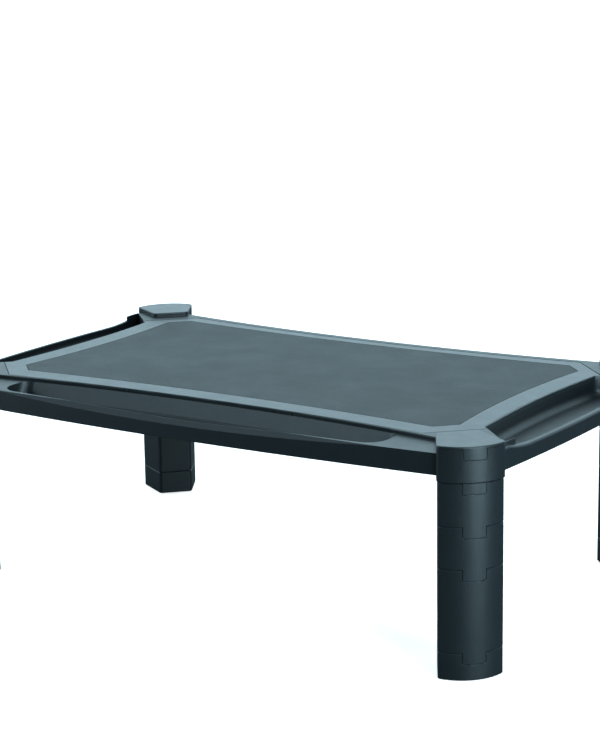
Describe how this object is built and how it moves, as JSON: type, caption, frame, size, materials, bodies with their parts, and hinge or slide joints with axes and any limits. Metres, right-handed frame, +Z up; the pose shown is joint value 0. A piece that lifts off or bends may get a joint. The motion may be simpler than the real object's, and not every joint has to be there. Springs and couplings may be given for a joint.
{
  "type": "desktop riser",
  "caption": "Low desktop riser with a flat deck, edge trays and stacking plug-in leg sections, for raising a laptop or monitor.",
  "frame": {"origin": "on the desk, under the middle of the riser's outer box", "axes": "+X to the user's right along the length, +Y away from the user, +Z up"},
  "size_m": [0.5026, 0.3285, 0.165],
  "materials": {
    "frame_plastic": "black moulded ABS with a fine spark-eroded grain",
    "deck_plastic": "black moulded ABS, smoother satin top face",
    "leg_plastic": "black moulded ABS with a fine grain",
    "mat_plastic": "black finely pebbled non-slip inlay",
    "pad_rubber": "black moulded rubber",
    "screw_steel": "zinc plated steel"
  },
  "bodies": {
    "platform": {"base_frame": "frame_plastic", "deck_plate": "deck_plastic", "deck_screws": "screw_steel", "non_slip_mat": "mat_plastic", "corner_cap_front_right": "deck_plastic", "corner_cap_front_left": "deck_plastic", "corner_cap_back_right": "deck_plastic", "corner_cap_back_left": "deck_plastic"},
    "upper_leg_front_right": {"upper_leg_front_right": "leg_plastic"},
    "middle_leg_front_right": {"middle_leg_front_right": "leg_plastic"},
    "long_leg_front_right": {"long_leg_front_right": "leg_plastic"},
    "foot_front_right": {"foot_front_right": "leg_plastic", "foot_pad_front_right": "pad_rubber"},
    "upper_leg_front_left": {"upper_leg_front_left": "leg_plastic"},
    "middle_leg_front_left": {"middle_leg_front_left": "leg_plastic"},
    "long_leg_front_left": {"long_leg_front_left": "leg_plastic"},
    "foot_front_left": {"foot_front_left": "leg_plastic", "foot_pad_front_left": "pad_rubber"},
    "upper_leg_back_right": {"upper_leg_back_right": "leg_plastic"},
    "middle_leg_back_right": {"middle_leg_back_right": "leg_plastic"},
    "long_leg_back_right": {"long_leg_back_right": "leg_plastic"},
    "foot_back_right": {"foot_back_right": "leg_plastic", "foot_pad_back_right": "pad_rubber"},
    "upper_leg_back_left": {"upper_leg_back_left": "leg_plastic"},
    "middle_leg_back_left": {"middle_leg_back_left": "leg_plastic"},
    "long_leg_back_left": {"long_leg_back_left": "leg_plastic"},
    "foot_back_left": {"foot_back_left": "leg_plastic", "foot_pad_back_left": "pad_rubber"}
  },
  "joints": [
    {"name": "upper_leg_front_right_pull", "type": "slide", "parent": "platform", "child": "upper_leg_front_right", "axis": [0, 0, -1], "range_m": [0, 0.03]},
    {"name": "middle_leg_front_right_pull", "type": "slide", "parent": "upper_leg_front_right", "child": "middle_leg_front_right", "axis": [0, 0, -1], "range_m": [0, 0.03]},
    {"name": "long_leg_front_right_pull", "type": "slide", "parent": "middle_leg_front_right", "child": "long_leg_front_right", "axis": [0, 0, -1], "range_m": [0, 0.03]},
    {"name": "foot_front_right_pull", "type": "slide", "parent": "long_leg_front_right", "child": "foot_front_right", "axis": [0, 0, -1], "range_m": [0, 0.03]},
    {"name": "upper_leg_front_left_pull", "type": "slide", "parent": "platform", "child": "upper_leg_front_left", "axis": [0, 0, -1], "range_m": [0, 0.03]},
    {"name": "middle_leg_front_left_pull", "type": "slide", "parent": "upper_leg_front_left", "child": "middle_leg_front_left", "axis": [0, 0, -1], "range_m": [0, 0.03]},
    {"name": "long_leg_front_left_pull", "type": "slide", "parent": "middle_leg_front_left", "child": "long_leg_front_left", "axis": [0, 0, -1], "range_m": [0, 0.03]},
    {"name": "foot_front_left_pull", "type": "slide", "parent": "long_leg_front_left", "child": "foot_front_left", "axis": [0, 0, -1], "range_m": [0, 0.03]},
    {"name": "upper_leg_back_right_pull", "type": "slide", "parent": "platform", "child": "upper_leg_back_right", "axis": [0, 0, -1], "range_m": [0, 0.03]},
    {"name": "middle_leg_back_right_pull", "type": "slide", "parent": "upper_leg_back_right", "child": "middle_leg_back_right", "axis": [0, 0, -1], "range_m": [0, 0.03]},
    {"name": "long_leg_back_right_pull", "type": "slide", "parent": "middle_leg_back_right", "child": "long_leg_back_right", "axis": [0, 0, -1], "range_m": [0, 0.03]},
    {"name": "foot_back_right_pull", "type": "slide", "parent": "long_leg_back_right", "child": "foot_back_right", "axis": [0, 0, -1], "range_m": [0, 0.03]},
    {"name": "upper_leg_back_left_pull", "type": "slide", "parent": "platform", "child": "upper_leg_back_left", "axis": [0, 0, -1], "range_m": [0, 0.03]},
    {"name": "middle_leg_back_left_pull", "type": "slide", "parent": "upper_leg_back_left", "child": "middle_leg_back_left", "axis": [0, 0, -1], "range_m": [0, 0.03]},
    {"name": "long_leg_back_left_pull", "type": "slide", "parent": "middle_leg_back_left", "child": "long_leg_back_left", "axis": [0, 0, -1], "range_m": [0, 0.03]},
    {"name": "foot_back_left_pull", "type": "slide", "parent": "long_leg_back_left", "child": "foot_back_left", "axis": [0, 0, -1], "range_m": [0, 0.03]}
  ]
}
